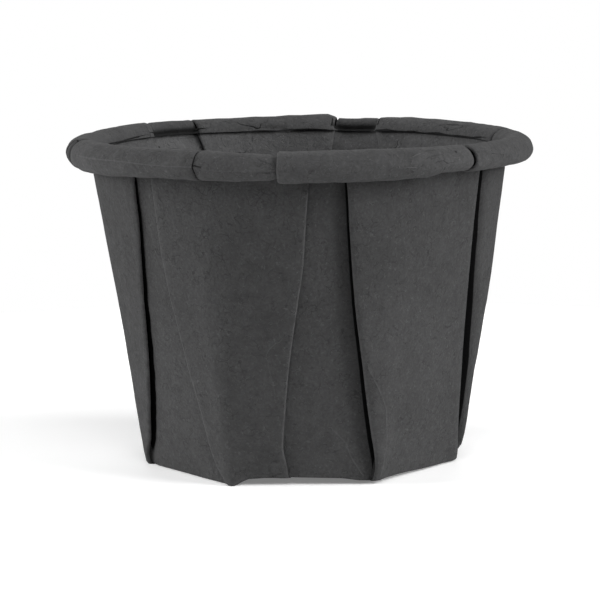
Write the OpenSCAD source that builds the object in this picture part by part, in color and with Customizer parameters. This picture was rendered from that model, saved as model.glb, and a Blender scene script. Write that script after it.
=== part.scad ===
// Pleated paper cup: one sheet folded up round a seven-sided base. Flattened pleats join its outer and
// inner panels, and its top edge is curled outward into a rolled rim.
// Millimetres. The cup stands on z = 0. Angles run from the front, -Y, towards +X.

/* [Cup] */
// Diameter over the rolled rim
rim_d = 60; // [54:1:90]
// Height over the rolled rim
cup_h = 42; // [28:1:70]
// Diameter of the seven-sided base through its corners, before they are rounded
base_d = 41.4; // [34:0.2:46]
// How much is rounded off each corner of the base
corner_cut = 0.3; // [0.2:0.05:0.8]

/* [Paper] */
// Thickness of the paper
paper = 0.22; // [0.16:0.01:0.28]
// Air between two flattened layers
layer_gap = 0.08; // [0.06:0.01:0.12]
// Inside radius of the crease where the walls turn up from the base
crease_r = 0.1; // [0.05:0.05:0.4]
// How far the paper of the cup's floor waves up and down
floor_wave = 0.02; // [0.01:0.01:0.05]

/* [Rolled rim] */
// Height of the roll
roll_h = 4; // [3:0.1:6]
// Width of the roll, from the inside of the cup to the outside
roll_w = 4.2; // [3.6:0.1:6]
// How far the roll hangs over the wall, inside the cup
roll_lip = 0.5; // [0.1:0.05:0.9]
// How far round the paper is rolled, in degrees, from the wall to its cut edge
roll_turn = 280; // [220:5:285]
// How far the rim dips between its high places
rim_dip = 0.2; // [0.1:0.05:0.6]

/* [Pleats] */
// How far the slack pleats stand off the wall low down
pleat_slack = 0.8; // [0:0.1:1.2]
// Width round the cup over which a slack pleat lifts, in degrees
slack_w = 16; // [8:1:24]
// Flat stretch between the two folds of each pleat where it leaves the base
pinch = 0.1; // [0.05:0.05:0.3]
// Gap between two pleats that share a corner of the base
pair_gap = 0.25; // [0.15:0.05:0.4]

/* [Hidden] */

BASE_SIDES = 7;
CORNER = 360 / BASE_SIDES;

// One row per pleat, in order from the left: angle of its outer edge under the rim; angle of its inner
// edge there; where it leaves the base, in sides from the middle of the front one; which way it makes
// room for a second pleat at that corner; how far its outer edge bows half-way up; and its slack.
// An outer panel ends at the first row's pleat and begins at the second's, and so on in turn.
PLEATS = [
    [-50, -75.8, -1.5, 1, 1.6, 1],
    [-42.5, -24.6, -0.5, 0, -5.5, 0],
    [2.6, -4.6, -0.12, 0, 0, 0.1],
    [11.4, 43.4, 0.5, 0, -1.5, 0.5],
    [57, 44.8, 1.5, -1, 1.3, 1],
    [86, 103.4, 1.5, 1, 0, 0.2],
    [122, 104.8, 2.5, -1, 0, 0.8],
    [134, 156.4, 2.5, 1, 0, 0.2],
    [186, 169.4, 3.5, -1, 0, 0.1],
    [194, 211.2, 3.5, 1, 0, 0.6],
    [246, 229, 4.5, 0, 0, 0.9],
    [262, 283, 5.5, -1, 0, 0.2],
];
COUNT = len(PLEATS);

RETURN_STEPS = 3;  // flats across the layers of a pleat
MIDDLE_STEPS = 3;  // flats across a panel, between its two pleats
TURN_STEPS = 2;    // flats round a pleat's edge
RIM_WAVES = 3;     // high places round the rim, the first at the front

layer = paper + layer_gap;
roll_r = rim_d / 2 - roll_w / 2;
roll_z = cup_h - roll_h / 2;
wall_top_r = rim_d / 2 - roll_w + paper / 2 + roll_lip;
base_apothem = base_d / 2 * cos(CORNER / 2) - layer - paper / 2;
base_corner_r = base_d / 2 - corner_cut - layer - paper / 2;
half_fold = (layer + paper + pinch) / 2;

SWELL_RISE = 0.14;  // height at which the slack pleats are fully open, as a share of the wall's
SWELL_TOP = 0.25;   // what is left of their lift under the rim

// The levels of the sheet, from the base to its cut edge. On the wall h goes from 0 to 1 and the turn is
// 0. On the roll h stays 1 and the turn grows.
WALL_LEVELS = [0, (crease_r + paper) / roll_z, 0.07, 0.2, 0.42, 0.7, 1];
ROLL_FIRST = 20;
ROLL_STEPS = 7;
LEVELS = concat(
    [for (h = WALL_LEVELS) [h, 0]],
    [for (i = [0 : ROLL_STEPS]) [1, ROLL_FIRST + (roll_turn - ROLL_FIRST) * i / ROLL_STEPS]]
);

function mix(a, b, t) = a + (b - a) * t;
function degrees_of(length, r) = length / r * 180 / PI;

// Distance from the axis to the innermost layer of the wall
function off_middle(a) = (a + CORNER / 2 + 360 * 2) % CORNER - CORNER / 2;
function base_r(a) = min(base_apothem / cos(off_middle(a)), base_corner_r);
function wall_r(a, h) = mix(base_r(a), wall_top_r, h);

// Distance from the axis at an angle, a level and an offset outward from the innermost layer
function out_r(a, level, off) = level[1] == 0
    ? wall_r(a, level[0]) + off
    : roll_r - (roll_w / 2 - paper / 2 - off) * cos(level[1]);
function ring_z(a) = roll_z - rim_dip * (1 - cos(RIM_WAVES * a)) / 2;
function up_z(a, level, off) = level[1] == 0
    ? level[0] * ring_z(a)
    : ring_z(a) + (roll_h / 2 - paper / 2 - off) * sin(level[1]);

// A pleat at the base: its angle, and half the overlap that its two folds need there
function base_angle(k) = PLEATS[k][2] * CORNER
    + PLEATS[k][3] * degrees_of(half_fold + pair_gap / 2, base_apothem);
function base_half(k) = degrees_of(is_closing(k) ? half_fold : -half_fold, base_apothem);

// Edges of pleat k at height h. Where it closes, an outer panel ends and an inner one begins.
function is_closing(k) = k % 2 == 0;
function outer_edge(k, h) = mix(base_angle(k) + base_half(k), PLEATS[k][0], h) + PLEATS[k][4] * 4 * h * (1 - h);
function inner_edge(k, h) = mix(base_angle(k) - base_half(k), PLEATS[k][1], h);

// Lift of a slack pleat: widest low down, closed at the base, and still a little open under the rim.
// It fades with the distance from the pleat's outer edge.
function swell(level) = level[1] > 0 ? 0
    : min(1, level[0] / SWELL_RISE) * sin(180 * sqrt(level[0])) + SWELL_TOP * level[0];
function lift(k, a, level) = let (away = abs(a - outer_edge(k, level[0])) / slack_w)
    away > 1 ? 0 : pleat_slack * PLEATS[k][5] * swell(level) * pow(1 - away, 2);

// A point of the sheet's middle surface: angle, offset, and the sheet's own normal as two parts, one
// round the cup and one outward
function turn_point(a, level, off_a, off_b, sweep, way) =
    let (
        closing = off_a > off_b ? 1 : -1,
        r = abs(off_a - off_b) / 2,
        off = (off_a + off_b) / 2 + closing * r * cos(sweep),
        shift = way * (r * sin(sweep) - r - paper / 2)
    )
    [a + degrees_of(shift, out_r(a, level, off)), off, closing * sin(sweep), way * cos(sweep)];

// A pleat's two edges in the order that the sheet meets them: the second is the lower angle
function first_edge(k, h) = is_closing(k) ? outer_edge(k, h) : inner_edge(k, h);
function second_edge(k, h) = is_closing(k) ? inner_edge(k, h) : outer_edge(k, h);

// The sheet's offsets before, in and after the turns at a pleat's first and second edge
function first_turn(k, level) = let (up = lift(k, first_edge(k, level[0]), level))
    [is_closing(k) ? 2 * layer + up : 0, layer + up];
function second_turn(k, level) = let (up = lift(k, second_edge(k, level[0]), level))
    [layer + up, is_closing(k) ? 0 : 2 * layer + up];

// Where a pleat's layers lie flat: a share from its second edge to its first
function along_pleat(k, level, share) =
    let (one = first_turn(k, level), two = second_turn(k, level))
    mix(
        turn_point(second_edge(k, level[0]), level, two[0], two[1], 0, -1)[0],
        turn_point(first_edge(k, level[0]), level, one[0], one[1], 180, 1)[0],
        share
    );

// One pleat of the ring: round its first edge, back along the hidden layer, and round its second edge
function pleat_points(k, level) =
    let (h = level[0], one = first_turn(k, level), two = second_turn(k, level))
    concat(
        [for (i = [0 : TURN_STEPS])
            turn_point(first_edge(k, h), level, one[0], one[1], 180 * i / TURN_STEPS, 1)],
        [for (i = [RETURN_STEPS - 1 : -1 : 1])
            let (a = along_pleat(k, level, i / RETURN_STEPS)) [a, layer + lift(k, a, level), 0, -1]],
        [for (i = [0 : TURN_STEPS])
            turn_point(second_edge(k, h), level, two[0], two[1], 180 * i / TURN_STEPS, -1)]
    );

// The panel between pleat k and the next. Its columns follow those of the two hidden layers beside it,
// and low down its middle leaves its own layer for the base edge.
function panel_points(k, level) =
    let (
        next = (k + 1) % COUNT,
        wrap = next == 0 ? 360 : 0,
        from = along_pleat(k, level, 1),
        to = along_pleat(next, level, 0) + wrap,
        outside = !is_closing(k),
        own = outside ? 2 * layer : 0,
        settle = max(0, 1 - level[0] / 0.3),
        spots = concat(
            [for (i = [1 : RETURN_STEPS]) [along_pleat(k, level, i / RETURN_STEPS), 0]],
            [for (i = [1 : MIDDLE_STEPS - 1]) [mix(from, to, i / MIDDLE_STEPS), settle]],
            [for (i = [0 : RETURN_STEPS - 1]) [along_pleat(next, level, i / RETURN_STEPS) + wrap, 0]]
        )
    )
    [for (s = spots)
        let (raise = outside ? max(lift(k, s[0], level), lift(next, s[0] - wrap, level)) : 0)
        [s[0], mix(own, layer, s[1]) + raise, 0, 1]];

function ring(level) = [for (k = [0 : COUNT - 1]) each concat(pleat_points(k, level), panel_points(k, level))];

// How high one face of the sheet lies on the base: the bottom is flat, and the floor waves a little
function face_z(a, side) = side > 0 ? 0 : paper + floor_wave * (1 + sin(BASE_SIDES * a)) / 2;

// A ring of corners on one face of the sheet: side is 1 for the face that is outside on the wall, and -1
// for the other. On the base the ring is drawn in to make the crease.
function face_ring(level, side) = [for (p = ring(level))
    let (
        crease = level[0] > 0 ? 0 : side > 0 ? crease_r + paper : crease_r,
        off = p[1] + side * p[3] * paper / 2 - crease,
        r = out_r(p[0], level, off),
        a = p[0] + degrees_of(side * p[2] * paper / 2, r)
    )
    [r * sin(a), -r * cos(a), max(face_z(a, side), up_z(a, level, off))]];

module sheet() {
    first_ring = ring(LEVELS[0]);
    n = len(first_ring);
    top = len(LEVELS) - 1;
    outside = [for (level = LEVELS) each face_ring(level, 1)];
    inside = [for (level = LEVELS) each face_ring(level, -1)];
    shift = len(outside);
    bottom_face = [for (j = [0 : n - 1]) j];
    floor_face = [for (j = [n - 1 : -1 : 0]) shift + j];
    outer_faces = [for (i = [0 : top - 1], j = [0 : n - 1])
        let (a = i * n + j, b = i * n + (j + 1) % n)
            each first_ring[j][3] < 0 ? [[a, a + n, b], [b, a + n, b + n]] : [[a, a + n, b + n], [a, b + n, b]]];
    inner_faces = [for (i = [0 : top - 1], j = [0 : n - 1])
        let (a = shift + i * n + j, b = shift + i * n + (j + 1) % n)
            each first_ring[j][3] < 0 ? [[a, b, a + n], [b, b + n, a + n]] : [[a, b + n, a + n], [a, b, b + n]]];
    cut_edge = [for (j = [0 : n - 1])
        let (a = top * n + j, b = top * n + (j + 1) % n)
            each [[b, a, a + shift], [b, a + shift, b + shift]]];
    polyhedron(
        points = concat(outside, inside),
        faces = concat([bottom_face, floor_face], outer_faces, inner_faces, cut_edge),
        convexity = 12
    );
}

module paper_cup() {
    color([0.27, 0.27, 0.27]) sheet();
}

paper_cup();
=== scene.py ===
import math

import bpy
import numpy as np
from mathutils import Matrix, Vector


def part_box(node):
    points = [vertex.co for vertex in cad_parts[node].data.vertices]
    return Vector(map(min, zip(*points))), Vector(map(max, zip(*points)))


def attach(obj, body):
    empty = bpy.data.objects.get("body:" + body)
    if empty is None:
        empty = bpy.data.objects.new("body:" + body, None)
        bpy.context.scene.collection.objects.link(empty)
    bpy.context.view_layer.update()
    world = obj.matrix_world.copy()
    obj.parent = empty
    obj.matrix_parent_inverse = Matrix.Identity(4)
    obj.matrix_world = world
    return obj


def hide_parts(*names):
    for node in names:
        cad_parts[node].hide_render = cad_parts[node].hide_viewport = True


# Pleated paper cup in black paper: one round blank, folded up round a seven-sided base into flattened
# pleats, with its edge rolled outward. Blender's units are metres, and the cup stands on z = 0. Angles
# are degrees from the front, -Y, towards +X. Lengths written in this file are millimetres until they
# are multiplied by MM.
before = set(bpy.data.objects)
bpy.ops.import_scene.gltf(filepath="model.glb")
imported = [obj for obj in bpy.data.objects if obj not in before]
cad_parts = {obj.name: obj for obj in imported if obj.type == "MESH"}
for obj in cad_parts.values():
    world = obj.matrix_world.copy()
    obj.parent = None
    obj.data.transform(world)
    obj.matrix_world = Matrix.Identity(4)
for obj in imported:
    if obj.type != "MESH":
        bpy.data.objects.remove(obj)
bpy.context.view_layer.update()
low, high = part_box("paper_cup")
MM = 0.001

# Driving sizes
RIM_R = (high.x - low.x) / 2 / MM     # outer radius of the rolled rim
CUP_H = (high.z - low.z) / MM         # height over the roll
SIDES = 7                             # sides of the base
BASE_R = 20.7                         # radius of the base through its corners, before they are rounded
CORNER_CUT = 0.3                      # how much is rounded off each corner
PAPER = 0.22                          # thickness of the paper
LAYER = 0.3                           # from one flattened layer to the next
CREASE_R = 0.1                        # inside radius of the crease round the base
ROLL_W, ROLL_H = 4.2, 4.0             # the roll's width and height
ROLL_LIP = 0.5                        # how far the roll hangs over the wall, inside the cup
ROLL_TURN = 280                       # degrees that the paper is rolled, from the wall to its cut edge
BASE_LIFT = 0.35                      # height of the base panel above the corners that it stands on
CREASE_OUT = CREASE_R + PAPER         # outside radius of the crease round the base

CORNER = 360 / SIDES
ROLL_R = RIM_R - ROLL_W / 2
RING_Z = CUP_H - ROLL_H / 2
WALL_TOP_R = RIM_R - ROLL_W + PAPER / 2 + ROLL_LIP
BASE_APOTHEM = BASE_R * math.cos(math.radians(CORNER / 2)) - LAYER - PAPER / 2
BASE_CORNER_R = BASE_R - CORNER_CUT - LAYER - PAPER / 2

# One row per pleat, in order from the left: angle of its outer edge under the rim; angle of its inner
# edge there; where it leaves the base, in sides from the middle of the front one; which way it makes
# room for a second pleat at that corner; how far its outer panel stands off low down and under the rim;
# and over how many degrees. An outer panel ends at the first row's pleat and begins at the second's.
PLEATS = [
    (-49.8, -75, -1.5, 1, 0.45, 0.0, 13),
    (-42.5, -25.3, -0.5, 0, 0.15, 0.1, 8),
    (2.6, -5.4, -0.12, 0, 0.1, 0.05, 10),
    (11.4, 44.6, 0.5, 0, 0.8, 0.4, 14),
    (55.3, 45.8, 1.5, -1, 0.3, 0.15, 13),
    (92, 103.4, 1.5, 1, 0.0, 0.0, 12),
    (122, 104.8, 2.5, -1, 0.6, 0.2, 14),
    (134, 156.4, 2.5, 1, 0.2, 0.1, 12),
    (186, 169.4, 3.5, -1, 0.1, 0.1, 12),
    (194, 212.3, 3.5, 1, 0.5, 0.15, 16),
    (246, 229, 4.5, 0, 0.7, 0.2, 14),
    (262, 282, 5.5, -1, 0.2, 0.1, 12),
]
# Where the outer edges that face the front run: (height, angle) between the base and the rim
EDGE_PATHS = {
    0: [
        (1, -76), (3.2, -70.5), (8.2, -65.5), (12.8, -62), (17.2, -59.2), (21.5, -57.2), (25.8, -55),
        (31.8, -52),
    ],
    1: [(2, -31.8), (4.5, -33.9), (9, -36.2), (14, -39.2), (19.7, -41.3), (23.6, -42.9), (29, -43.6)],
    2: [(2, -5.6), (4.4, -7.1), (9.6, -5.6), (14.7, -4.2), (22, -1.4), (27.4, 0.7), (32.5, 1.4)],
    3: [(1.4, 25.5), (4.8, 23.7), (9, 21.5), (14.5, 19.1), (21, 16.2), (27.6, 14.3)],
    4: [(1.2, 75), (3, 73), (5.8, 70.6), (11.2, 67.3), (16.5, 64.3), (21, 62), (27, 59.3), (33, 57)],
    5: [(1.5, 81.5), (5, 86), (13, 89), (25, 91)],
}
# How the stand-off of a slack panel grows from the base, as (height, share)
SLACK_RISE = [(0, 0), (0.5, 0.1), (2, 0.55), (5, 0.95), (9, 1)]
# How far a panel stands out on the roll at its start and its end, by the pleat that it starts from. An
# outer panel would else lie two layers deep between its neighbours.
ROLL_STANDS = {
    1: (0.54, 0.2), 3: (-0.9, -0.9), 7: (0.53, 0.37), 8: (0.3, 0), 9: (0.6, 0.54), 11: (-0.9, -0.9),
}
# Gaps that the finish paints black as painted shade: on the wall by pleat, as (height, millimetres wide)
# beside its outer edge; on the roll by the pleat that an outer panel starts from, as the widths at its start
# and its end
WALL_SHADE_SLOTS = {
    0: [(0.5, 0.02), (2.5, 0.1), (8, 0.25), (17, 0.2), (38, 0.1)],
    3: [(0.5, 0.02), (4, 0.1), (10, 0.08), (16, 0.08), (38, 0.08)],
    4: [(0.5, 0.1), (3, 0.55), (8, 1.0), (13, 1.25), (20, 1.3), (28, 1.2), (38, 1.15)],
}
ROLL_SHADE_SLOTS = {1: (0.26, 0.06), 3: (1, 1), 5: (0.5, 0.5), 7: (0.16, 0.12), 9: (0.22, 0.08), 11: (1, 1)}
# How far the strip beside a pleat's outer edge swells out of the wall, as (height, millimetres), and from
# how many degrees beside the edge to how many it rises
SWELLS = {
    0: ([(0, 0), (1.5, 0.1), (5, 0.3), (20, 0.35), (38, 0.35), (39.7, 0)], 0.2, 2.5),
    4: (
        [(0, 0), (1.2, 0.55), (4, 0.65), (8, 0.75), (14, 0.95), (22, 0.9), (34, 0.65), (38, 0.5), (39.7, 0)],
        0.6, 3.2,
    ),
}
# Round the cup, as (angle, millimetres): how far the rim rises or dips, how much the roll is flattened
# from below, how far it bulges outward, and how high the lowest edge lies above the table
RIM_RISE = [
    (0, 0.2), (60, 0.15), (90, 0.15), (102, 0.15), (112, 0.3), (126, 0.34), (138, 0.49), (145, 0.57),
    (153, 0.51), (166, 0.48), (173, 0.66), (180, 0.6), (197, 0.49), (211, 0.56), (222, 0.53), (232, 0.48),
    (240, 0.42), (254, 0.16), (270, 0.2), (300, 0.2),
]
ROLL_SQUASH = [
    (-85, 0.12), (-58, 0), (-38, 0.48), (-26, 0.34), (-15, 0.1), (0, 0.17), (7, 0.17), (21, 0.27), (32, 0.38),
    (34.2, 0.4), (35.2, 0.82), (44, 0.8), (46, 0.55), (53, 0.65), (64, 0.63), (79, 0.48), (95, 0.5),
    (115, 0.3), (180, 0.2), (250, 0.1),
]
ROLL_BULGE = [
    (-120, 0), (-108, 0.08), (-95, 0.14), (-80, 0.1), (-62, 0.03), (-40, 0), (80, 0), (90, 0.08), (110, 0),
]
FOOT_HEIGHT = [
    (-79, 0.0), (-74, 0.0), (-68, 0.04), (-55, 0.06), (-40, 0.02), (-31, 0.04), (-27, 0), (-24, 0),
    (-21, 0.75), (-15, 0.88), (0, 0.92), (15, 0.78), (20.6, 0.5), (25.7, 0.38), (32, 0.4), (39, 0.42),
    (46, 0.36), (56, 0.22), (77, 0.12), (110, 0.35), (125, 0.3), (128.6, 0), (132, 0.3), (180, 0.3),
    (228, 0.3), (231.4, 0), (235, 0.3), (270, 0.35),
]
# Corners whose lowest edge is tucked in or stands out: (angle, half width in degrees, height, depth)
TUCKED_CORNERS = [(79, 9, 1.9, 0.35), (180, 7, 0.9, 0.4), (-25.7, 5, 2.2, -0.3)]

# Soft lights: name, place in metres, size and watts
LIGHTS = [
    ("left light", (-0.6, 0.0, 0.2), 0.4, 4.5),
    ("right light", (0.58, -0.2, 0.32), 0.4, 5.3),
    ("high front light", (0, -0.45, 0.55), 0.4, 2.0),
    ("back light", (0, 0.6, 0.55), 0.6, 2.4),
]
SKY = 0.02            # brightness of the white light all round
FLOOR_R = 0.14        # radius of the floor, in metres
FLOOR_SIDES = 128     # sides of the floor's edge

TURN_STEPS = 3        # flats round the edge of a pleat
RETURN_STEPS = 4      # flats across a pleat's hidden layer
COLUMN_GAP = 1.0      # about how far apart the columns of a panel are, under the rim
GAP_STEP = 0.3        # distance beside a gap painted black as shade that its measure counts as 1
CLEAR = 9.0           # that measure where no gap is near
GAP_SHADE = 0.6       # brightness of the painted shade right beside a gap, as drawn by the finish
GAP_REACH = 8.0       # the measure at which that painted shade has faded out
ROLL_GAP_STEEP = 8    # how much faster the measure grows beside a gap in the roll
# More columns of the panel that starts at a pleat, in degrees from its start
EXTRA_COLUMNS = {4: [12.2, 13.2, 14.2, 16.2]}
PLEAT_COUNT = len(PLEATS)
ROLL_PAINTED_LIGHT = 1.3       # how much the finish brightens the roll as painted light, to match the photograph there
INSIDE_PAINTED_LIGHT = 1.8     # and how much painted light brightens the inside of the cup


def to_angle(length, radius):
    """Degrees round the cup that a length takes at a radius."""
    return np.degrees(length / radius)


def smooth(share):
    """A share from 0 to 1 with soft ends."""
    share = np.clip(share, 0, 1)
    return share * share * (3 - 2 * share)


def around(angle, points, blur=2.0):
    """A value round the cup through (angle, value) points, softened over a few degrees."""
    step = 0.25
    fine = np.arange(0, 360, step)
    spots, values = zip(*points)
    line = np.interp(fine, spots, values, period=360)
    for _ in range(round(2 * (blur / step) ** 2)):
        line = (np.roll(line, 1) + 2 * line + np.roll(line, -1)) / 4
    return np.interp(angle, fine, line, period=360)


def off_middle(angle):
    """Degrees from the middle of the nearest side of the base."""
    return (angle + CORNER / 2) % CORNER - CORNER / 2


def base_radius(angle):
    return np.minimum(BASE_APOTHEM / np.cos(np.radians(off_middle(angle))), BASE_CORNER_R)


def sheet_levels():
    """The sheet's levels from the base to its cut edge, as columns of (inset on the base, degrees through
    the base crease, height share of the wall, degrees round the roll)."""
    base = [(inset, 0, 0, 0) for inset in (3.2, 2.2, 1.4, 0.7)]
    crease = [(0, turned, 0, 0) for turned in (0, 35, 65)]
    foot = [CREASE_OUT, 0.6, 1.0, 1.5, 2.1, 2.8, 3.6]
    wall = [(0, 90, z / RING_Z, 0) for z in [*foot, *np.linspace(4.4, 38.4, 50), 38.9, 39.35, 39.7, RING_Z]]
    roll = [(0, 90, 1, turn) for turn in [7, 14, *np.linspace(21, ROLL_TURN, 33)]]
    return np.array(base + crease + wall + roll).T[:, :, None]


INSET, CREASE, SHARE, TURN = sheet_levels()
ON_ROLL = TURN > 0
HEIGHT = SHARE * RING_Z
# Length along the sheet from the crease: the wall, and then round the roll
ROLL_MEAN = (ROLL_W + ROLL_H) / 4
ALONG = HEIGHT + np.radians(TURN) * ROLL_MEAN


def ring_radius(angle, offset):
    """Distance from the axis at every level, an offset outward from the innermost layer."""
    wall = base_radius(angle) * (1 - SHARE) + WALL_TOP_R * SHARE + offset
    roll = ROLL_R - (ROLL_W / 2 - PAPER / 2 - offset) * np.cos(np.radians(TURN))
    return np.where(ON_ROLL, roll, wall)


def is_closing(k):
    """Whether an outer panel ends at pleat k and an inner one begins."""
    return k % 2 == 0


HALF_FOLD = (LAYER + PAPER + 0.1) / 2   # half of what a pleat's two folds take up where it leaves the base
PAIR_GAP = 0.25                         # gap between two pleats at one corner


def base_angle(k):
    return PLEATS[k][2] * CORNER + PLEATS[k][3] * to_angle(HALF_FOLD + PAIR_GAP / 2, BASE_APOTHEM)


def base_half(k):
    return to_angle(HALF_FOLD if is_closing(k) else -HALF_FOLD, BASE_APOTHEM)


def soft_line(points):
    """A line through (height, angle) points at every level, with its corners rounded."""
    heights, angles = zip(*sorted(points))
    fine = np.linspace(0, RING_Z, 161)
    line = np.interp(fine, heights, angles)
    for _ in range(24):
        line[1:-1] = (line[:-2] + 2 * line[1:-1] + line[2:]) / 4
    return np.interp(HEIGHT, fine, line)


def outer_edge(k):
    ends = [(0, base_angle(k) + base_half(k)), (RING_Z, PLEATS[k][0])]
    return soft_line(ends + EDGE_PATHS.get(k, []))


def inner_edge(k):
    """A straight edge from the base to the rim that stays on its own side of the outer one."""
    straight = (base_angle(k) - base_half(k)) * (1 - SHARE) + PLEATS[k][1] * SHARE
    beside = OUTER[k] - 2 * base_half(k)
    return np.minimum(straight, beside) if is_closing(k) else np.maximum(straight, beside)


OUTER = [outer_edge(k) for k in range(PLEAT_COUNT)]
INNER = [inner_edge(k) for k in range(PLEAT_COUNT)]


def lift(k, angle):
    """How far the outer panel at pleat k stands off the wall, fading with the distance from its edge."""
    low_down, under_rim, width = PLEATS[k][4:7]
    heights = [z for z, _ in SLACK_RISE] + [RING_Z - 1.5, RING_Z]
    amounts = [low_down * share for _, share in SLACK_RISE] + [under_rim, 0]
    amount = np.where(ON_ROLL, 0, np.interp(HEIGHT, heights, amounts))
    away = np.clip(np.abs(angle - OUTER[k]) / width, 0, 1)
    return amount * (1 - away) ** 2 * (1 + 0.6 * away)


def fold_point(angle, off_a, off_b, sweep, way):
    """A point of the half-round turn at a pleat's edge: angle, offset, and the sheet's normal there."""
    closing = np.where(off_a > off_b, 1, -1)
    radius = np.abs(off_a - off_b) / 2
    s, c = math.sin(math.radians(sweep)), math.cos(math.radians(sweep))
    offset = (off_a + off_b) / 2 + closing * radius * c
    shift = way * (radius * s - radius - PAPER / 2)
    return angle + to_angle(shift, ring_radius(angle, offset)), offset, closing * s, way * c


def pleat_turns(k):
    """Offsets before and after the two turns of pleat k, in the order in which the sheet meets them."""
    first, second = (OUTER[k], INNER[k]) if is_closing(k) else (INNER[k], OUTER[k])
    turns = []
    for edge, outer_first in ((first, is_closing(k)), (second, not is_closing(k))):
        up = lift(k, edge)
        turns.append((edge, 2 * LAYER + up if outer_first else 0 * up, LAYER + up))
    return turns


def pleat_flat(k, share):
    """Angles across the flat of pleat k: from its second edge to its first."""
    (first, top, middle), (second, low_top, low_middle) = pleat_turns(k)
    start = fold_point(second, low_middle, low_top, 0, -1)[0]
    end = fold_point(first, top, middle, 180, 1)[0]
    return start * (1 - share) + end * share


def slot_depth(k, beyond, points):
    """How far a place is out of the gap beside the outer edge of pleat k that the finish paints black as
    shade: under 1 lies in it.
    """
    heights, widths = zip(*points)
    away = np.radians(beyond) * ring_radius(OUTER[k], 0)
    return 1 + (away - np.interp(HEIGHT, heights, widths)) / GAP_STEP


def wall_gaps(k, after, angle, wrap):
    """How far an inner panel is out of the gaps painted black as shade at both its ends."""
    clear = np.full(np.broadcast_shapes(angle.shape, HEIGHT.shape), CLEAR)
    if k in WALL_SHADE_SLOTS:
        clear = np.minimum(clear, slot_depth(k, angle - OUTER[k], WALL_SHADE_SLOTS[k]))
    if after in WALL_SHADE_SLOTS:
        clear = np.minimum(clear, slot_depth(after, OUTER[after] + wrap - angle, WALL_SHADE_SLOTS[after]))
    return np.where(ON_ROLL, CLEAR, clear)


def roll_gaps(k, after, angle, wrap):
    """The same on the roll, where an outer panel lies between two inner ones."""
    first, last = ROLL_SHADE_SLOTS[k]
    scale = math.radians(1) * ROLL_R
    share = np.minimum((angle - INNER[k]) * scale / first, (INNER[after] + wrap - angle) * scale / last)
    return np.where(TURN > 40, np.clip(1 + ROLL_GAP_STEEP * (share - 1), -7, CLEAR), CLEAR)


def swell(k, after, angle):
    """How far the strip between the outer edges of two pleats swells out of the wall."""
    if k not in SWELLS:
        return 0
    points, start, end = SWELLS[k]
    heights, amounts = zip(*points)
    rise = smooth((angle - OUTER[k] - start) / (end - start))
    fall = smooth((OUTER[after] - 0.5 - angle) / np.interp(HEIGHT, (2, 12), (6, 17)))
    return np.where(ON_ROLL, 0, np.interp(HEIGHT, heights, amounts)) * rise * fall


def pleat_columns(k):
    """Columns of one pleat: round its first edge, back along the hidden layer, round its second edge."""
    (first, top, middle), (second, low_top, low_middle) = pleat_turns(k)
    columns = []
    for i in range(TURN_STEPS + 1):
        columns.append((*fold_point(first, top, middle, 180 * i / TURN_STEPS, 1), is_closing(k), CLEAR))
    for i in range(RETURN_STEPS - 1, 0, -1):
        angle = pleat_flat(k, i / RETURN_STEPS)
        columns.append((angle, LAYER + lift(k, angle), 0, -1, False, CLEAR))
    for i in range(TURN_STEPS + 1):
        turn = fold_point(second, low_middle, low_top, 180 * i / TURN_STEPS, -1)
        columns.append((*turn, not is_closing(k), CLEAR))
    return columns


def column_places(k, after, wrap, width):
    """Where the columns of a panel lie across it: evenly, and closer beside the gaps that need it."""
    count = max(8, round(math.radians(width) * RIM_R / COLUMN_GAP))
    places = [i / count for i in range(1, count)]
    if is_closing(k):
        beside = EXTRA_COLUMNS.get(k, [])
    else:
        first, last = INNER[k][-1, 0] - OUTER[k][-1, 0], INNER[after][-1, 0] + wrap - OUTER[k][-1, 0]
        beside = [first + 0.25, first + 0.8, last - 0.8, last - 0.25]
    for degrees in beside:
        place = degrees / width
        places = [p for p in places if abs(p - place) * width > 0.3] + [place]
    return sorted(places)


def panel_columns(k):
    """Columns of the panel from pleat k to the next. Low down its middle leaves its own layer for the
    edge of the base."""
    after = (k + 1) % PLEAT_COUNT
    wrap = 360 if after == 0 else 0
    start, end = pleat_flat(k, 0), pleat_flat(after, 1) + wrap
    outside = not is_closing(k)
    width = float(end[-1, 0] - start[-1, 0])
    settle = np.clip(1 - SHARE / 0.3, 0, 1)
    stand_start, stand_end = ROLL_STANDS.get(k, (0, 0))
    over_top = smooth((TURN - 40) / 45)
    columns = []
    for across in column_places(k, after, wrap, width):
        angle = start * (1 - across) + end * across
        beyond = angle - np.maximum(OUTER[k], INNER[k])
        before = np.minimum(OUTER[after], INNER[after]) + wrap - angle
        free = smooth(np.minimum(beyond, before) / 5)
        own = 2 * LAYER if outside else 0
        offset = own + (LAYER - own) * settle * free
        if outside:
            offset = offset + np.maximum(lift(k, angle), lift(after, angle - wrap))
            gap = np.clip((angle - INNER[k]) / (INNER[after] + wrap - INNER[k]), 0, 1)
            open_to = np.minimum(angle - INNER[k], INNER[after] + wrap - angle)
            stand = (stand_start * (1 - gap) + stand_end * gap) * smooth((open_to - 0.1) / 0.8)
            clear = roll_gaps(k, after, angle, wrap)
        else:
            stand = stand_start * (1 - across) ** 2
            offset = offset + swell(k, after, angle)
            clear = wall_gaps(k, after, angle, wrap)
        columns.append((angle, offset - stand * over_top, 0, 1, False, clear))
    return columns


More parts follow.
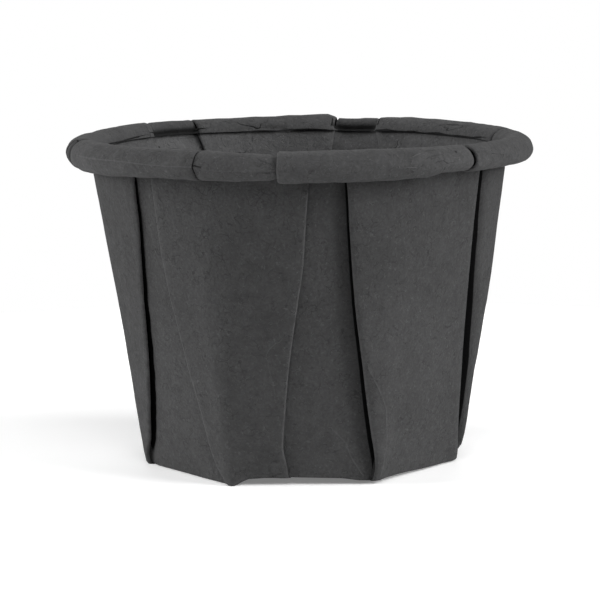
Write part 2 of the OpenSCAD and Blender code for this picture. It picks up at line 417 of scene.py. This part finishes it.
def sheet_columns():
    """Angle, offset, the normal's two parts, whether it is an outer fold and how far out of the gaps painted
    black as shade it lies, for every level and column."""
    columns = []
    for k in range(PLEAT_COUNT):
        columns += pleat_columns(k) + panel_columns(k)
    shape = np.broadcast_shapes(HEIGHT.shape, (len(HEIGHT), len(columns)))
    angle, offset, turned, out, clear = (
        np.concatenate([np.broadcast_to(np.asarray(c[i], float), HEIGHT.shape) for c in columns], axis=1)
        for i in (0, 1, 2, 3, 5)
    )
    outer_fold = np.array([bool(c[4]) for c in columns])[None, :] & np.ones(shape, bool)
    return angle, offset, turned, out, outer_fold, clear


def line_distance(angle, points):
    """Distance in the sheet from every place to a line through (angle, length along the sheet): positive on
    one side of it and negative on the other."""
    scale = np.radians(1) * (20.5 + 6 * SHARE)
    best = np.full(np.broadcast_shapes(angle.shape, scale.shape), 1e3)
    for (a0, s0), (a1, s1) in zip(points, points[1:]):
        px, py = (angle - a0 + 180) % 360 * scale - 180 * scale, ALONG - s0
        dx, dy = (a1 - a0) * scale, s1 - s0
        t = np.clip((px * dx + py * dy) / (dx * dx + dy * dy + 1e-9), 0, 1)
        away = np.copysign(np.hypot(px - t * dx, py - t * dy), px * dy - py * dx)
        best = np.where(np.abs(away) < np.abs(best), away, best)
    return best


def tube(degrees):
    """Length along the sheet at a place on the roll, in degrees above its outermost line."""
    return RING_Z + math.radians(180 - degrees) * ROLL_MEAN


# Creases and dents of the wall: ((angle, height) points, half width, depth inward)
WALL_MARKS = [
    ([(16, 22), (20.4, 15), (24.5, 12), (27.2, 9.8), (28.5, 5.5), (27.5, 1)], 0.7, -0.16),
    ([(10.8, 7.1), (15.5, 5.3), (17.4, 3.2), (21.1, 1)], 0.5, -0.1),
    ([(-7.3, 18.5), (-9.4, 17.9), (-10.9, 17.1)], 0.3, -0.07),
    ([(-10.9, 17.1), (-10.3, 14.8), (-9, 12.2)], 0.6, 0.1),
    ([(-12, 20), (-16, 12), (-17, 6)], 2.6, 0.12),
    ([(-62, 30), (-66, 20), (-72, 9)], 1.6, -0.12),
    ([(36, 26), (33, 14), (36, 4)], 3.4, 0.14),
    ([(11, 32), (13, 22), (16, 14), (19.5, 6)], 2.4, 0.34),
    ([(-30, 34), (-25, 22), (-22, 10)], 4.0, 0.1),
    ([(140, 30), (150, 12)], 3.0, -0.2),
    ([(150, 26), (158, 8)], 2.0, 0.15),
    ([(205, 31), (198, 10)], 3.0, -0.15),
    ([(-110, 28), (-118, 9)], 2.5, 0.16),
    ([(100, 26), (97, 6)], 2.2, -0.14),
    ([(-84, 5), (-84, 20)], 5, 0.14),
    ([(85, 14), (85, 24)], 5.5, -0.2),
    ([(159, 39.6), (167, 39.6)], 0.9, -0.5),
    ([(215, 39.6), (227, 39.6)], 0.9, -0.5),
]
# Creases of the roll: the same, with tube() for the length along the sheet. A negative depth stands out.
ROLL_MARKS = [
    ([(-66, tube(8)), (-45, tube(8)), (-35, tube(2)), (-25, tube(2))], 0.5, -0.2),
    ([(-66, tube(-22)), (-45, tube(-22)), (-25, tube(-26))], 0.9, 0.2),
    ([(159, tube(152)), (167, tube(152))], 1.3, 0.8),
    ([(215, tube(155)), (227, tube(155))], 1.2, 0.7),
    ([(-23, tube(-6)), (-14, tube(-8)), (-6, tube(-4))], 0.4, -0.14),
    ([(-40, tube(35)), (-34, tube(20))], 0.8, 0.12),
    ([(12, tube(-30)), (30, tube(-12))], 0.9, 0.14),
    ([(-2, tube(20)), (14, tube(6)), (28, tube(16))], 0.8, -0.12),
    ([(60, tube(20)), (78, tube(-10))], 0.9, 0.12),
    ([(197, tube(168)), (191, tube(160)), (188, tube(166)), (184, tube(172))], 0.3, 0.3),
]
# Fine creases and tears: ((angle, length along the sheet) points, half width, depth). They are too fine for
# the mesh and are pressed into the paper's finish. The finish also paints the pressed-in ones darker, as
# painted shade, and the raised ones paler. The two wide ones are painted shadow in the recesses of the roll
# at the back.
FINE_CREASES = [
    ([(-66, tube(9)), (-45, tube(9)), (-35, tube(3)), (-25.5, tube(3))], 0.16, -0.07),
    ([(-24.9, tube(10)), (-23.6, tube(4)), (-21.8, tube(2))], 0.12, 0.34),
    ([(-23, tube(-6)), (-18, tube(-11)), (-11, tube(-7)), (-6, tube(-9))], 0.2, -0.05),
    ([(-6, tube(-17)), (-7.8, tube(-19)), (-9.4, tube(-16))], 0.12, 0.24),
    ([(-6, tube(18)), (-8, tube(26)), (-9.5, tube(38))], 0.16, 0.12),
    ([(-5.2, tube(-6)), (-8.5, tube(0)), (-10, tube(8))], 0.16, 0.1),
    ([(-36, tube(44)), (-31, tube(28)), (-29, tube(30))], 0.16, 0.07),
    ([(30, tube(50)), (31.5, tube(57)), (33.5, tube(55))], 0.13, 0.15),
    ([(26, tube(30)), (29, tube(44))], 0.14, -0.1),
    ([(33, tube(8)), (34.2, tube(13)), (35.2, tube(11))], 0.13, 0.13),
    ([(37.2, tube(2)), (38.8, tube(9))], 0.13, 0.12),
    ([(35.3, tube(-2)), (35.3, tube(-46))], 0.1, 0.16),
    ([(24, tube(-4)), (28, tube(-9))], 0.14, -0.1),
    ([(8, tube(-24)), (13, tube(-20)), (17, tube(-25))], 0.14, 0.08),
    ([(2, tube(30)), (7, tube(22)), (10, tube(26))], 0.14, 0.07),
    ([(52, tube(20)), (58, tube(8))], 0.14, 0.08),
    ([(-79.5, tube(50)), (-82, tube(15)), (-81, tube(-20))], 0.7, 0.45),
    ([(200, tube(178)), (192, tube(172)), (188, tube(179)), (178, tube(174)), (171, tube(178))], 0.2, 0.34),
    ([(193, tube(160)), (197, tube(148)), (199, tube(140))], 0.14, 0.2),
    ([(156, tube(172)), (152, tube(170)), (147, tube(177)), (143, tube(173)), (139, tube(178)),
      (133, tube(170))], 0.2, 0.36),
    ([(133, tube(170)), (128, tube(176)), (124, tube(172)), (117, tube(174)), (110, tube(164))], 0.2, 0.36),
    ([(158, tube(150)), (168, tube(152))], 1.4, 0.5),
    ([(214, tube(152)), (227.5, tube(154))], 1.3, 0.45),
    ([(130, tube(128)), (127, tube(126))], 0.3, 0.26),
    ([(257, tube(168)), (246, tube(172)), (236, tube(166))], 0.18, 0.3),
    ([(-7.3, 18.5), (-9.4, 17.9), (-10.9, 17.1)], 0.12, -0.09),
    ([(-10.9, 16.6), (-10.3, 14.8), (-9, 12.2)], 0.3, -0.05),
    ([(20.4, 15), (24.5, 12), (27.2, 9.8), (28.5, 5.5), (27.5, 1)], 0.2, -0.07),
    ([(10.8, 7.1), (15.5, 5.3), (17.4, 3.2), (21.1, 1)], 0.18, -0.07),
    ([(200, 37), (206, 35.5), (212, 37)], 0.3, 0.2),
    ([(150, 37.5), (155, 34.5)], 0.3, 0.2),
]


def press_marks(angle):
    """Depth that the creases and dents press into the sheet, outward counted as positive."""
    depth = np.zeros(np.broadcast_shapes(angle.shape, HEIGHT.shape))
    for points, width, deep in WALL_MARKS:
        depth -= np.where(ON_ROLL, 0, deep * np.exp(-(line_distance(angle, points) / width) ** 2))
    for points, width, deep in ROLL_MARKS:
        depth += np.where(ON_ROLL, deep * np.exp(-(line_distance(angle, points) / width) ** 2), 0)
    return depth


def fine_creases(angle):
    """The distance from the nearest fine crease, in half widths, and its depth, for every place."""
    shape = np.broadcast_shapes(angle.shape, HEIGHT.shape)
    nearest, across, depth = np.full(shape, 1e3), np.full(shape, 9.0), np.zeros(shape)
    for points, width, deep in FINE_CREASES:
        on_line = ON_ROLL == (points[0][1] > RING_Z)
        away = np.where(on_line, line_distance(angle, points), 1e3)
        near = np.abs(away) < nearest
        across = np.where(near, np.clip(away / width, -9, 9), across)
        depth = np.where(near, deep * smooth(2 - np.abs(away) / 1.2), depth)
        nearest = np.where(near, np.abs(away), nearest)
    return across, depth


def rim_and_foot(angle):
    """How far hand-worn places move the sheet outward and upward: the foot, the rim and its roll."""
    outward = np.zeros(np.broadcast_shapes(angle.shape, HEIGHT.shape))
    for corner, width, tall, deep in TUCKED_CORNERS:
        near = smooth(1 - np.abs((angle - corner + 180) % 360 - 180) / width)
        outward -= deep * near * np.clip(1 - HEIGHT / tall, 0, 1)
    turn = np.radians(TURN)
    outward += np.where(ON_ROLL, around(angle, ROLL_BULGE) * np.maximum(0, -np.cos(turn)), 0)
    foot = BASE_LIFT + (around(angle, FOOT_HEIGHT, 0.6) - BASE_LIFT) * smooth(1 - INSET / 3)
    upward = foot * np.clip(1 - HEIGHT / 6, 0, 1) + around(angle, RIM_RISE) * SHARE
    upward += np.where(ON_ROLL, around(angle, ROLL_SQUASH, 0.4) * np.maximum(0, -np.sin(turn)), 0)
    return outward, upward


def add_point_values(mesh, name, values, kind="FLOAT"):
    layer = mesh.attributes.new(name, kind, "POINT")
    layer.data.foreach_set("value", np.ascontiguousarray(values, dtype=np.float32).ravel())


def flat_places(angle, count):
    """Where each column and level lies on the round blank that the cup is pressed from."""
    radius = BASE_R + ALONG - INSET
    top = np.radians(angle[-1]) * RIM_R
    steps = np.abs(np.diff(np.concatenate([top, top[:1] + 2 * math.pi * RIM_R]))) + 0.15
    round_blank = np.concatenate([[0], np.cumsum(steps)[:-1]]) / steps.sum() * 2 * math.pi
    return np.stack([radius * np.cos(round_blank), radius * np.sin(round_blank)], axis=-1)


def lay_out_blank():
    """The sheet as a closed mesh of both faces, laid flat. Its values say where each corner goes when
    the cup is raised."""
    angle, offset, turned, out, outer_fold, clear = sheet_columns()
    levels, columns = angle.shape
    offset = offset + press_marks(angle)
    outward, upward = rim_and_foot(angle)
    places = flat_places(angle, columns)
    names = ("angle", "offset", "turned", "out", "side", "outward", "upward")
    flat, values = [], {name: [] for name in names}
    worn = np.where(outer_fold, np.clip(np.abs(turned), 0, 1), 0)
    worn = worn * np.where(ON_ROLL, 1, np.clip(HEIGHT / 4 - 0.2, 0, 1))
    for side, radius in ((1, CREASE_OUT), (-1, CREASE_R)):
        flat.append(np.dstack([places, np.full((levels, columns), -side * PAPER / 2)]))
        inset = INSET + radius * (1 - np.sin(np.radians(CREASE)))
        drop = radius * np.cos(np.radians(CREASE))
        for name, value in (("angle", angle), ("offset", offset), ("turned", turned), ("out", out),
                            ("side", side), ("outward", outward - inset), ("upward", upward - drop)):
            values[name].append(np.broadcast_to(value, (levels, columns)))
    count = levels * columns
    index = np.arange(count).reshape(levels, columns)
    right = np.roll(index, -1, axis=1)
    quads = np.stack([index[:-1], right[:-1], right[1:], index[1:]], axis=-1).reshape(-1, 4)
    cut = np.stack([index[-1], right[-1], right[-1] + count, index[-1] + count], axis=-1)
    faces = [*quads.tolist(), *(quads[:, ::-1] + count).tolist(), *cut.tolist()]
    faces += [index[0][::-1].tolist(), (index[0] + count).tolist()]
    mesh = bpy.data.meshes.new("blank")
    mesh.from_pydata((np.concatenate(flat).reshape(-1, 3) * MM).tolist(), [], faces)
    for name in ("offset", "outward", "upward"):
        add_point_values(mesh, name, np.concatenate(values[name]) * MM)
    for name in ("angle", "turned", "out", "side"):
        scale = math.pi / 180 if name == "angle" else 1
        add_point_values(mesh, name, np.concatenate(values[name]) * scale)
    both = (2 * levels, columns)
    share = np.tile(np.maximum(SHARE, CREASE_OUT / RING_Z), (2, 1))
    add_point_values(mesh, "share", np.broadcast_to(share, both))
    add_point_values(mesh, "roll", np.broadcast_to(np.radians(np.tile(TURN, (2, 1))), both))
    add_point_values(mesh, "worn", np.tile(worn, (2, 1)))
    across, depth = fine_creases(angle)
    for name, value in (("crease", across), ("crease depth", depth)):
        add_point_values(mesh, name, np.tile(value, (2, 1)))
    # The measure out of the gaps that the finish paints black as shade, on the face that shows there
    shown = [np.where(ON_ROLL, CLEAR, clear), np.where(ON_ROLL, clear, CLEAR)]
    add_point_values(mesh, "clear", np.concatenate(shown))
    # Painted light: the paper's inner face is painted brighter on the roll and inside the cup
    inside = np.broadcast_to(np.where(ON_ROLL, ROLL_PAINTED_LIGHT, INSIDE_PAINTED_LIGHT), (levels, columns))
    add_point_values(mesh, "painted_light", np.concatenate([np.ones((levels, columns)), inside]))
    uv = mesh.uv_layers.new(name="blank")
    corners = np.empty(len(mesh.loops), np.int32)
    mesh.loops.foreach_get("vertex_index", corners)
    spots = np.tile(places.reshape(-1, 2), (2, 1))[corners] * MM
    uv.data.foreach_set("uv", spots.astype(np.float32).ravel())
    return mesh


class Tree:
    """A geometry tree being built, with short ways to add its nodes."""

    def __init__(self, name):
        self.group = bpy.data.node_groups.new(name, "GeometryNodeTree")
        self.nodes, self.links = self.group.nodes, self.group.links
        self.sockets = {}
        self.add_input("Geometry", "NodeSocketGeometry")
        self.group.interface.new_socket("Geometry", in_out="OUTPUT", socket_type="NodeSocketGeometry")
        self.source = self.nodes.new("NodeGroupInput")
        self.result = self.nodes.new("NodeGroupOutput")

    def add_input(self, name, kind, value=None):
        socket = self.group.interface.new_socket(name, in_out="INPUT", socket_type=kind)
        self.sockets[name] = (socket.identifier, value)

    def input(self, name):
        return self.source.outputs[name]

    def feed(self, socket, value):
        if isinstance(value, bpy.types.NodeSocket):
            self.links.new(value, socket)
        else:
            socket.default_value = value

    def math(self, operation, *values):
        node = self.nodes.new("ShaderNodeMath")
        node.operation = operation
        for socket, value in zip(node.inputs, values):
            self.feed(socket, value)
        return node.outputs[0]

    def named(self, name, kind="FLOAT"):
        node = self.nodes.new("GeometryNodeInputNamedAttribute")
        node.data_type = kind
        node.inputs["Name"].default_value = name
        return node.outputs["Attribute"]

    def choose(self, test, when_false, when_true):
        node = self.nodes.new("GeometryNodeSwitch")
        node.input_type = "FLOAT"
        for socket, value in zip(node.inputs, (test, when_false, when_true)):
            self.feed(socket, value)
        return node.outputs[0]

    def vector(self, x, y, z):
        node = self.nodes.new("ShaderNodeCombineXYZ")
        for socket, value in zip(node.inputs, (x, y, z)):
            self.feed(socket, value)
        return node.outputs[0]

    def noise(self, place, scale, detail, seed):
        node = self.nodes.new("ShaderNodeTexNoise")
        node.noise_dimensions = "4D"
        for name, value in (("Vector", place), ("W", seed), ("Scale", scale), ("Detail", detail)):
            self.feed(node.inputs[name], value)
        return self.math("SUBTRACT", node.outputs["Fac"], 0.5)


def raising_tree(paper):
    """The tree that raises the flat blank into the cup: the wall leans from the seven-sided base to the
    round rim, the roll turns outward over it, and both are crumpled a little."""
    t = Tree("raise the cup")
    sizes = {
        "Base apothem": BASE_APOTHEM, "Base corner radius": BASE_CORNER_R, "Wall top radius": WALL_TOP_R,
        "Ring height": RING_Z, "Roll radius": ROLL_R, "Roll half width": ROLL_W / 2,
        "Roll half height": ROLL_H / 2, "Paper": PAPER, "Crumple": 0.24, "Fine crumple": 0.09,
        "Roll crumple": 0.36,
    }
    for name, value in sizes.items():
        t.add_input(name, "NodeSocketFloat", value * MM)
    t.add_input("Sides", "NodeSocketFloat", float(SIDES))
    t.add_input("Seed", "NodeSocketFloat", 3.0)
    angle, share, roll = t.named("angle"), t.named("share"), t.named("roll")
    side, out, turned = t.named("side"), t.named("out"), t.named("turned")
    half_paper = t.math("MULTIPLY", t.input("Paper"), 0.5)

    corner = t.math("DIVIDE", 2 * math.pi, t.input("Sides"))
    half_corner = t.math("MULTIPLY", corner, 0.5)
    off = t.math("SUBTRACT", t.math("FLOORED_MODULO", t.math("ADD", angle, half_corner), corner), half_corner)
    flat_side = t.math("DIVIDE", t.input("Base apothem"), t.math("COSINE", off))
    base_r = t.math("MINIMUM", flat_side, t.input("Base corner radius"))
    lean = t.math("MULTIPLY", t.math("SUBTRACT", t.input("Wall top radius"), base_r), share)
    wall_r = t.math("ADD", base_r, lean)

    ring_z = t.input("Ring height")
    round_roll = t.math("MULTIPLY", roll, t.input("Roll half width"))
    innermost = t.vector(
        t.math("MULTIPLY", wall_r, t.math("SINE", angle)),
        t.math("MULTIPLY", wall_r, t.math("COSINE", angle)),
        t.math("ADD", t.math("MULTIPLY", share, ring_z), round_roll),
    )
    soft = t.math("MULTIPLY", t.noise(innermost, 90.0, 2.0, t.input("Seed")), t.input("Crumple"))
    on_roll = t.math("GREATER_THAN", roll, 0.0)
    rough = t.choose(on_roll, t.input("Fine crumple"), t.input("Roll crumple"))
    fine = t.math("MULTIPLY", t.noise(innermost, 420.0, 2.0, t.input("Seed")), rough)
    held = t.math("MINIMUM", 1.0, t.math("MULTIPLY", share, 12.0))
    crumple = t.math("MULTIPLY", t.math("ADD", soft, fine), held)
    offset = t.math("ADD", t.named("offset"), crumple)
    offset = t.math("ADD", offset, t.math("MULTIPLY", t.math("MULTIPLY", side, out), half_paper))

    def roll_reach(half):
        return t.math("SUBTRACT", t.math("SUBTRACT", t.input(half), half_paper), offset)

    over = t.math("MULTIPLY", roll_reach("Roll half width"), t.math("COSINE", roll))
    roll_r = t.math("SUBTRACT", t.input("Roll radius"), over)
    roll_z = t.math("ADD", ring_z, t.math("MULTIPLY", roll_reach("Roll half height"), t.math("SINE", roll)))
    r = t.choose(on_roll, t.math("ADD", wall_r, offset), roll_r)
    r = t.math("ADD", r, t.named("outward"))
    z = t.choose(on_roll, t.math("MULTIPLY", share, ring_z), roll_z)
    z = t.math("ADD", z, t.named("upward"))
    aside = t.math("DIVIDE", t.math("MULTIPLY", t.math("MULTIPLY", side, turned), half_paper), r)
    around = t.math("ADD", angle, aside)
    place = t.vector(
        t.math("MULTIPLY", r, t.math("SINE", around)),
        t.math("MULTIPLY", t.math("MULTIPLY", r, -1.0), t.math("COSINE", around)),
        z,
    )
    move = t.nodes.new("GeometryNodeSetPosition")
    t.links.new(t.input("Geometry"), move.inputs["Geometry"])
    t.links.new(place, move.inputs["Position"])
    whole = t.nodes.new("GeometryNodeRealizeInstances")
    t.links.new(move.outputs[0], whole.inputs[0])
    finish = t.nodes.new("GeometryNodeSetMaterial")
    finish.inputs["Material"].default_value = paper
    t.links.new(whole.outputs[0], finish.inputs["Geometry"])
    t.links.new(finish.outputs[0], t.result.inputs[0])
    return t


def shape_with(tree, mesh, name):
    """Runs a tree on a mesh and returns the result as a plain object with no modifier."""
    raw = bpy.data.objects.new("raw " + name, mesh)
    bpy.context.scene.collection.objects.link(raw)
    modifier = raw.modifiers.new("shape", "NODES")
    modifier.node_group = tree.group
    for identifier, value in tree.sockets.values():
        if value is not None:
            modifier[identifier] = value
    bpy.context.view_layer.update()
    evaluated = raw.evaluated_get(bpy.context.evaluated_depsgraph_get())
    made = bpy.data.meshes.new_from_object(evaluated)
    bpy.data.objects.remove(raw)
    made.name = name
    piece = bpy.data.objects.new(name, made)
    bpy.context.scene.collection.objects.link(piece)
    return piece


class Finish:
    """A material being built, with short ways to add its nodes."""

    def __init__(self, name):
        self.material = bpy.data.materials.new(name)
        self.material.use_nodes = True
        self.nodes, self.links = self.material.node_tree.nodes, self.material.node_tree.links
        self.shader = self.nodes["Principled BSDF"]
        self.places = self.nodes.new("ShaderNodeTexCoord")

    def add(self, kind, settings=(), **inputs):
        node = self.nodes.new(kind)
        for key, value in dict(settings).items():
            setattr(node, key, value)
        for key, value in inputs.items():
            socket = node.inputs[key.replace("_", " ")]
            if isinstance(value, bpy.types.NodeSocket):
                self.links.new(value, socket)
            else:
                socket.default_value = value
        return node

    def ramp(self, value, low_at, high_at, low_out=0.0, high_out=1.0):
        node = self.add("ShaderNodeMapRange", Value=value)
        for socket, number in zip(node.inputs[1:5], (low_at, high_at, low_out, high_out)):
            socket.default_value = number
        return node.outputs[0]

    def noise(self, place, scale, detail=2.0, rough=0.5):
        node = self.add("ShaderNodeTexNoise", Vector=place, Scale=scale, Detail=detail, Roughness=rough)
        return node.outputs[0]

    def value(self, name):
        return self.add("ShaderNodeAttribute", {"attribute_name": name}).outputs["Fac"]

    def math(self, operation, a, b):
        node = self.nodes.new("ShaderNodeMath")
        node.operation = operation
        for socket, value in zip(node.inputs, (a, b)):
            if isinstance(value, bpy.types.NodeSocket):
                self.links.new(value, socket)
            else:
                socket.default_value = value
        return node.outputs[0]

    def mix(self, share, a, b):
        node = self.nodes.new("ShaderNodeMix")
        node.data_type = "RGBA"
        for socket, value in ((node.inputs[0], share), (node.inputs[6], a), (node.inputs[7], b)):
            if isinstance(value, bpy.types.NodeSocket):
                self.links.new(value, socket)
            else:
                socket.default_value = value
        return node.outputs[2]


def grey(value):
    """A grey with the faint cold cast of black paper."""
    return (value, value, value * 1.015, 1)


def curls(f, place, scale, width):
    """Thin curly fibres along the level lines of a noise: 1 on a fibre and 0 between."""
    level = f.math("ABSOLUTE", f.math("SUBTRACT", f.noise(place, scale, 1.0), 0.5), 0.0)
    return f.ramp(level, width * 0.4, width, 1.0, 0.0)


def black_paper():
    """Uncoated black paper: matte and faintly cloudy, with a fine tooth, curly pale and dark fibres, small
    black specks, fine creases and folds rubbed paler along their edges. The fine creases carry painted shade
    where pressed in and are painted paler where raised. It paints the deep gaps black as painted shade, with
    a fading painted shade beside them, and paints light that brightens the roll and the inside."""
    f = Finish("black paper")
    place = f.places.outputs["Object"]
    cloud = f.noise(place, 110.0, 3.0, 0.5)
    mottle = f.noise(place, 800.0, 3.0, 0.6)
    grain = f.noise(place, 3000.0, 2.0, 0.6)
    pale = f.math("MULTIPLY", curls(f, place, 1400.0, 0.022), f.ramp(f.noise(place, 1900.0, 1.0), 0.48, 0.6))
    dark_places = f.ramp(f.noise(place, 500.0, 1.0), 0.4, 0.6, 1.0, 0.2)
    dark = f.math("MULTIPLY", curls(f, place, 1000.0, 0.02), dark_places)
    specks = f.add("ShaderNodeTexVoronoi", {}, Vector=place, Scale=210.0)
    rare = f.add("ShaderNodeSeparateColor", Color=specks.outputs["Color"]).outputs[0]
    near_speck = f.ramp(specks.outputs["Distance"], 0.025, 0.05, 1.0, 0.0)
    speck = f.math("MULTIPLY", near_speck, f.ramp(rare, 0.85, 0.87))
    worn = f.value("worn")
    gap = f.ramp(f.value("clear"), 0.85, 1.15, 1.0, 0.0)
    away = f.math("ABSOLUTE", f.value("crease"), 0.0)
    crease = f.math("MULTIPLY", f.ramp(away, 0.0, 1.0, 1.0, 0.0), f.value("crease depth"))

    colour = f.mix(f.ramp(cloud, 0.35, 0.65), grey(0.033), grey(0.044))
    colour = f.mix(f.ramp(mottle, 0.3, 0.7, 0.0, 0.7), colour, grey(0.058))
    colour = f.mix(f.ramp(grain, 0.3, 0.7, 0.0, 0.6), colour, grey(0.031))
    colour = f.mix(f.math("MULTIPLY", pale, 0.35), colour, grey(0.09))
    colour = f.mix(f.math("MULTIPLY", dark, 0.5), colour, grey(0.015))
    colour = f.mix(f.math("MULTIPLY", worn, f.ramp(mottle, 0.35, 0.65, 0.2, 0.6)), colour, grey(0.09))
    # Raised fine creases are painted paler; pressed-in ones and tears are painted dark as painted shade
    colour = f.mix(f.ramp(crease, -0.02, -0.12, 0.0, 0.5), colour, grey(0.1))
    colour = f.mix(f.ramp(crease, 0.08, 0.24, 0.0, 0.95), colour, grey(0.006))
    colour = f.mix(f.math("MULTIPLY", speck, 0.85), colour, grey(0.006))
    # Painted shade: the gaps are painted near black
    colour = f.mix(f.math("MULTIPLY", gap, 0.95), colour, grey(0.004))
    # Painted shade fading out beside the gaps, times the painted light of the roll and the inside
    painted_light = f.math("MULTIPLY", f.value("painted_light"), f.ramp(f.value("clear"), 1.0, GAP_REACH, GAP_SHADE, 1.0))
    painted_lit_colour = f.add("ShaderNodeVectorMath", {"operation": "SCALE"}, Vector=colour, Scale=painted_light)
    f.links.new(painted_lit_colour.outputs[0], f.shader.inputs["Base Color"])
    # No specular reflection in the gaps painted black as shade
    f.links.new(f.ramp(gap, 0.0, 1.0, 0.2, 0.0), f.shader.inputs["Specular IOR Level"])
    f.links.new(f.ramp(grain, 0.3, 0.7, 0.85, 0.95), f.shader.inputs["Roughness"])

    tooth = f.math("ADD", f.math("MULTIPLY", grain, 0.6), f.math("MULTIPLY", mottle, 1.8))
    tooth = f.math("ADD", tooth, f.math("MULTIPLY", f.math("SUBTRACT", pale, dark), 0.3))
    bump = f.add("ShaderNodeBump", Height=tooth, Distance=0.0001, Strength=1.0)
    pressed = f.math("MULTIPLY", crease, -1.0)
    creased = f.add("ShaderNodeBump", Height=pressed, Distance=0.001, Strength=0.7, Normal=bump.outputs[0])
    f.links.new(creased.outputs[0], f.shader.inputs["Normal"])
    return f.material


def pale_floor():
    """Plain matte floor."""
    f = Finish("pale floor")
    f.shader.inputs["Base Color"].default_value = (0.93, 0.93, 0.93, 1)
    f.shader.inputs["Roughness"].default_value = 0.9
    f.shader.inputs["Specular IOR Level"].default_value = 0.1
    f.shader.inputs["Emission Color"].default_value = (1, 1, 1, 1)
    f.shader.inputs["Emission Strength"].default_value = 0.18
    return f.material


def make_floor():
    mesh = bpy.data.meshes.new("floor")
    turns = np.linspace(0, 2 * math.pi, FLOOR_SIDES, False)
    edge = [(FLOOR_R * math.cos(t), FLOOR_R * math.sin(t), 0) for t in turns]
    mesh.from_pydata(edge, [], [tuple(range(FLOOR_SIDES))])
    floor = bpy.data.objects.new("floor", mesh)
    bpy.context.scene.collection.objects.link(floor)
    mesh.materials.append(pale_floor())


def soft_light(name, place, size, power):
    """A large square light that faces the cup."""
    light = bpy.data.lights.new(name, "AREA")
    light.shape = "SQUARE"
    light.size, light.energy = size, power
    lamp = bpy.data.objects.new(name, light)
    bpy.context.scene.collection.objects.link(lamp)
    lamp.location = place
    aim = Vector((0, 0, CUP_H * MM / 2)) - lamp.location
    lamp.rotation_euler = aim.to_track_quat("-Z", "Y").to_euler()


def light_studio():
    """Soft lights at both sides and above, a little even light from all round, and a white background."""
    world = bpy.data.worlds.new("studio")
    bpy.context.scene.world = world
    world.use_nodes = True
    tree = world.node_tree
    around, backdrop = tree.nodes["Background"], tree.nodes.new("ShaderNodeBackground")
    around.inputs["Color"].default_value = (1, 1, 1, 1)
    around.inputs["Strength"].default_value = SKY
    backdrop.inputs["Color"].default_value = (1, 1, 1, 1)
    seen = tree.nodes.new("ShaderNodeLightPath")
    both = tree.nodes.new("ShaderNodeMixShader")
    tree.links.new(seen.outputs["Is Camera Ray"], both.inputs["Fac"])
    tree.links.new(around.outputs[0], both.inputs[1])
    tree.links.new(backdrop.outputs[0], both.inputs[2])
    tree.links.new(both.outputs[0], tree.nodes["World Output"].inputs["Surface"])
    for name, place, size, power in LIGHTS:
        soft_light(name, place, size, power)
    bpy.context.scene.view_settings.view_transform = "Standard"


def aim_camera():
    """The photograph's view: a long lens a little above the rim."""
    eye, target = Vector((0, -0.3106, 0.0649)), Vector((-0.00016, 0, 0.0205))
    roll = -0.009
    look = (target - eye).normalized()
    right = look.cross(Vector((0, 0, 1))).normalized()
    up = right.cross(look)
    c, s = math.cos(roll), math.sin(roll)
    right, up = c * right + s * up, c * up - s * right
    lens = bpy.data.cameras.new("camera")
    lens.sensor_width, lens.lens = 36, 144.57
    lens.clip_start = 0.01
    camera = bpy.data.objects.new("camera", lens)
    bpy.context.scene.collection.objects.link(camera)
    camera.matrix_world = Matrix.Translation(eye) @ Matrix((right, up, -look)).transposed().to_4x4()
    bpy.context.scene.camera = camera


aim_camera()
light_studio()
make_floor()

cup = shape_with(raising_tree(black_paper()), lay_out_blank(), "folded_paper_cup")
cup.data.polygons.foreach_set("use_smooth", [len(p.vertices) == 4 for p in cup.data.polygons])
cup.data.set_sharp_from_angle(angle=math.radians(70))
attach(cup, "root")
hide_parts("paper_cup")
